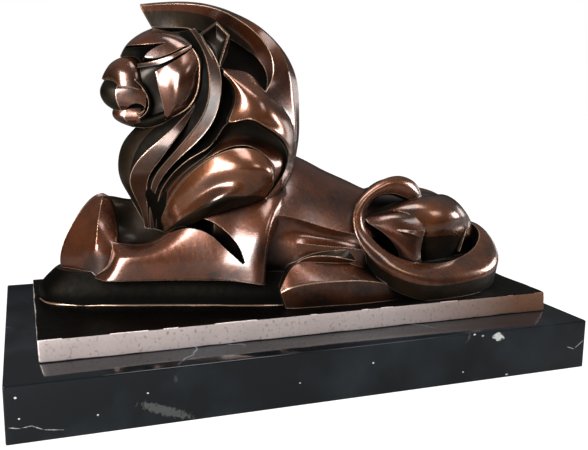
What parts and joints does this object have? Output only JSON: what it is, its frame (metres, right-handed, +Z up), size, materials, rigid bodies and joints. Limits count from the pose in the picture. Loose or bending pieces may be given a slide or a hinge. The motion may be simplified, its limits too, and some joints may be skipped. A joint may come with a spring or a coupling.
{
  "type": "lion sculpture",
  "caption": "Reclining lion in angular 1920s style, cast in brown bronze with its plate, on a polished black marble plinth; a decorative sculpture for a mantel or desk.",
  "frame": {"origin": "middle of the plinth's underside", "axes": "+X along the plinth from the lion's nose to its rump, +Y from the side with the curled tail to the far side, +Z up"},
  "size_m": [0.42, 0.245, 0.2737],
  "materials": {
    "brown_bronze": "cast bronze, brown patina, rubbed to light gold on the ridges and nearly black in the hollows",
    "black_marble": "polished black marble with a few fine white veins and fossil flecks"
  },
  "bodies": {
    "root": {"bronze_lion": "brown_bronze", "marble_base": "black_marble"}
  },
  "joints": []
}
